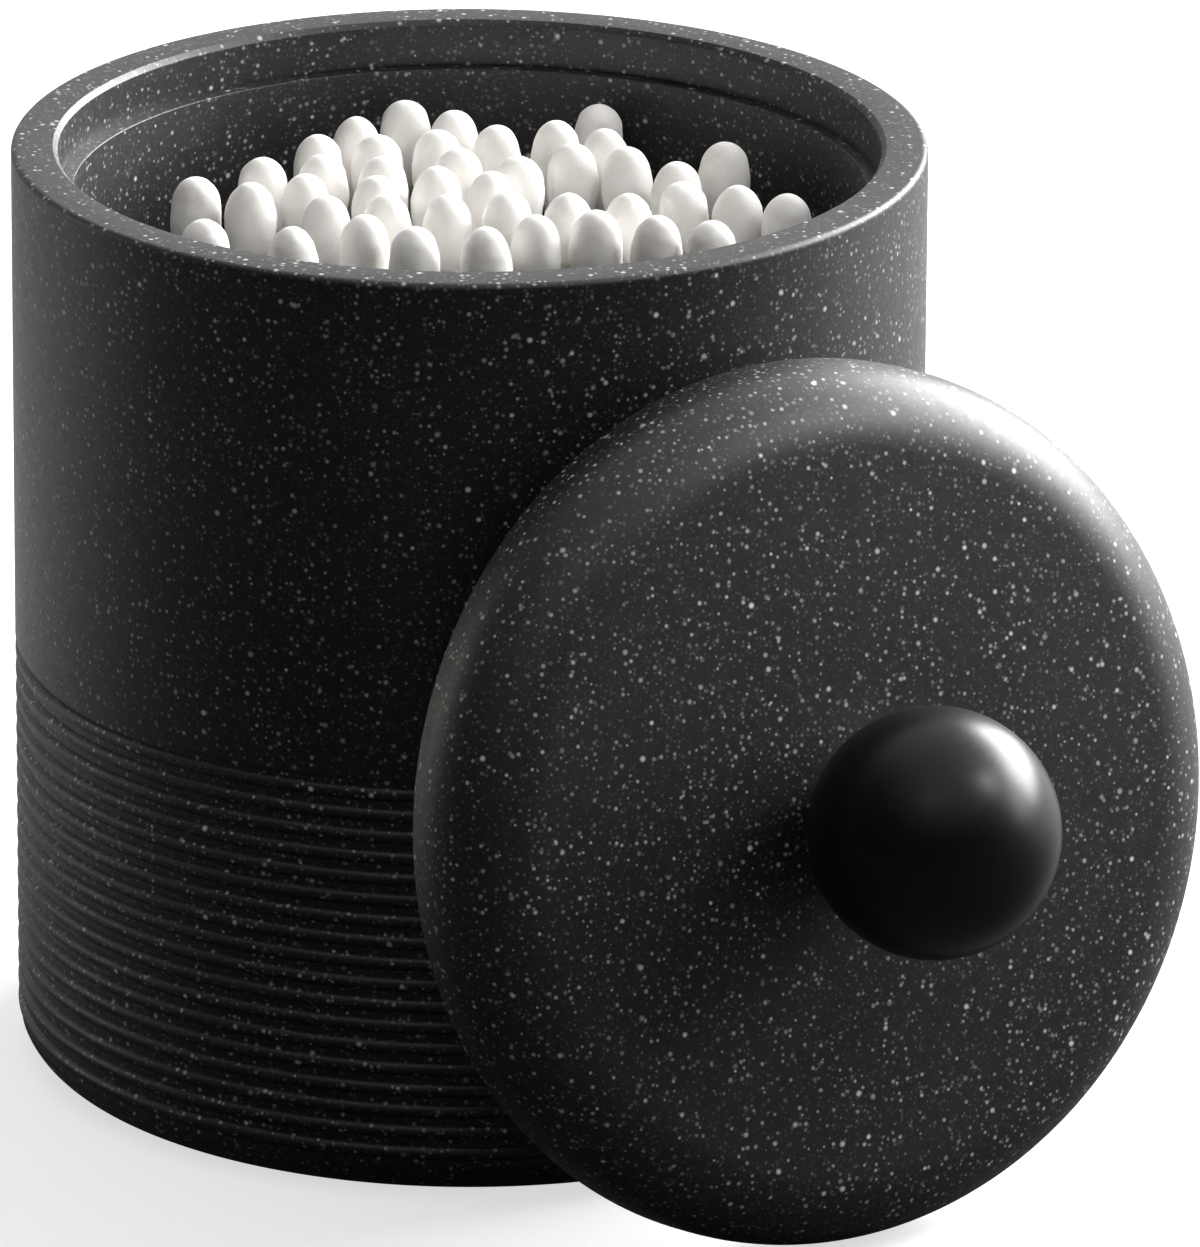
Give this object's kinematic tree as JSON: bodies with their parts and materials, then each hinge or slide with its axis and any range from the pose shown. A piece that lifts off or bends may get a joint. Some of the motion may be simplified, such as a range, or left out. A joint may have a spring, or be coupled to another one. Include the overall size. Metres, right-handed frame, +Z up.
{
  "type": "cotton swab holder",
  "caption": "Round speckled jar with a ribbed lower wall, holding cotton swabs, with its ball-knob lid leaning against it.",
  "frame": {"origin": "centre of the jar's flat base, at the level it stands on", "axes": "+Z up along the jar's axis, -Y towards the side that the lid leans on, +X to the right when seen from there"},
  "size_m": [0.1084, 0.1153, 0.0878],
  "materials": {
    "jar_body": "matt black with fine pale specks",
    "lid_body": "matt black with fine pale specks",
    "knob_black": "satin black, smooth",
    "fixing_steel": "plain",
    "cotton": "wound cotton on a white paper stick"
  },
  "bodies": {
    "root": {"jar": "jar_body", "lid": "lid_body", "knob": "knob_black", "knob_screw": "fixing_steel", "knob_washer": "fixing_steel", "swab_01": "cotton", "swab_02": "cotton", "swab_03": "cotton", "swab_04": "cotton", "swab_05": "cotton", "swab_06": "cotton", "swab_07": "cotton", "swab_08": "cotton", "swab_09": "cotton", "swab_10": "cotton", "swab_11": "cotton", "swab_12": "cotton", "swab_13": "cotton", "swab_14": "cotton", "swab_15": "cotton", "swab_16": "cotton", "swab_17": "cotton", "swab_18": "cotton", "swab_19": "cotton", "swab_20": "cotton", "swab_21": "cotton", "swab_22": "cotton", "swab_23": "cotton", "swab_24": "cotton", "swab_25": "cotton", "swab_26": "cotton", "swab_27": "cotton", "swab_28": "cotton", "swab_29": "cotton", "swab_30": "cotton", "swab_31": "cotton", "swab_32": "cotton", "swab_33": "cotton", "swab_34": "cotton", "swab_35": "cotton", "swab_36": "cotton", "swab_37": "cotton", "swab_38": "cotton", "swab_39": "cotton", "swab_40": "cotton", "swab_41": "cotton", "swab_42": "cotton", "swab_43": "cotton"}
  },
  "joints": []
}
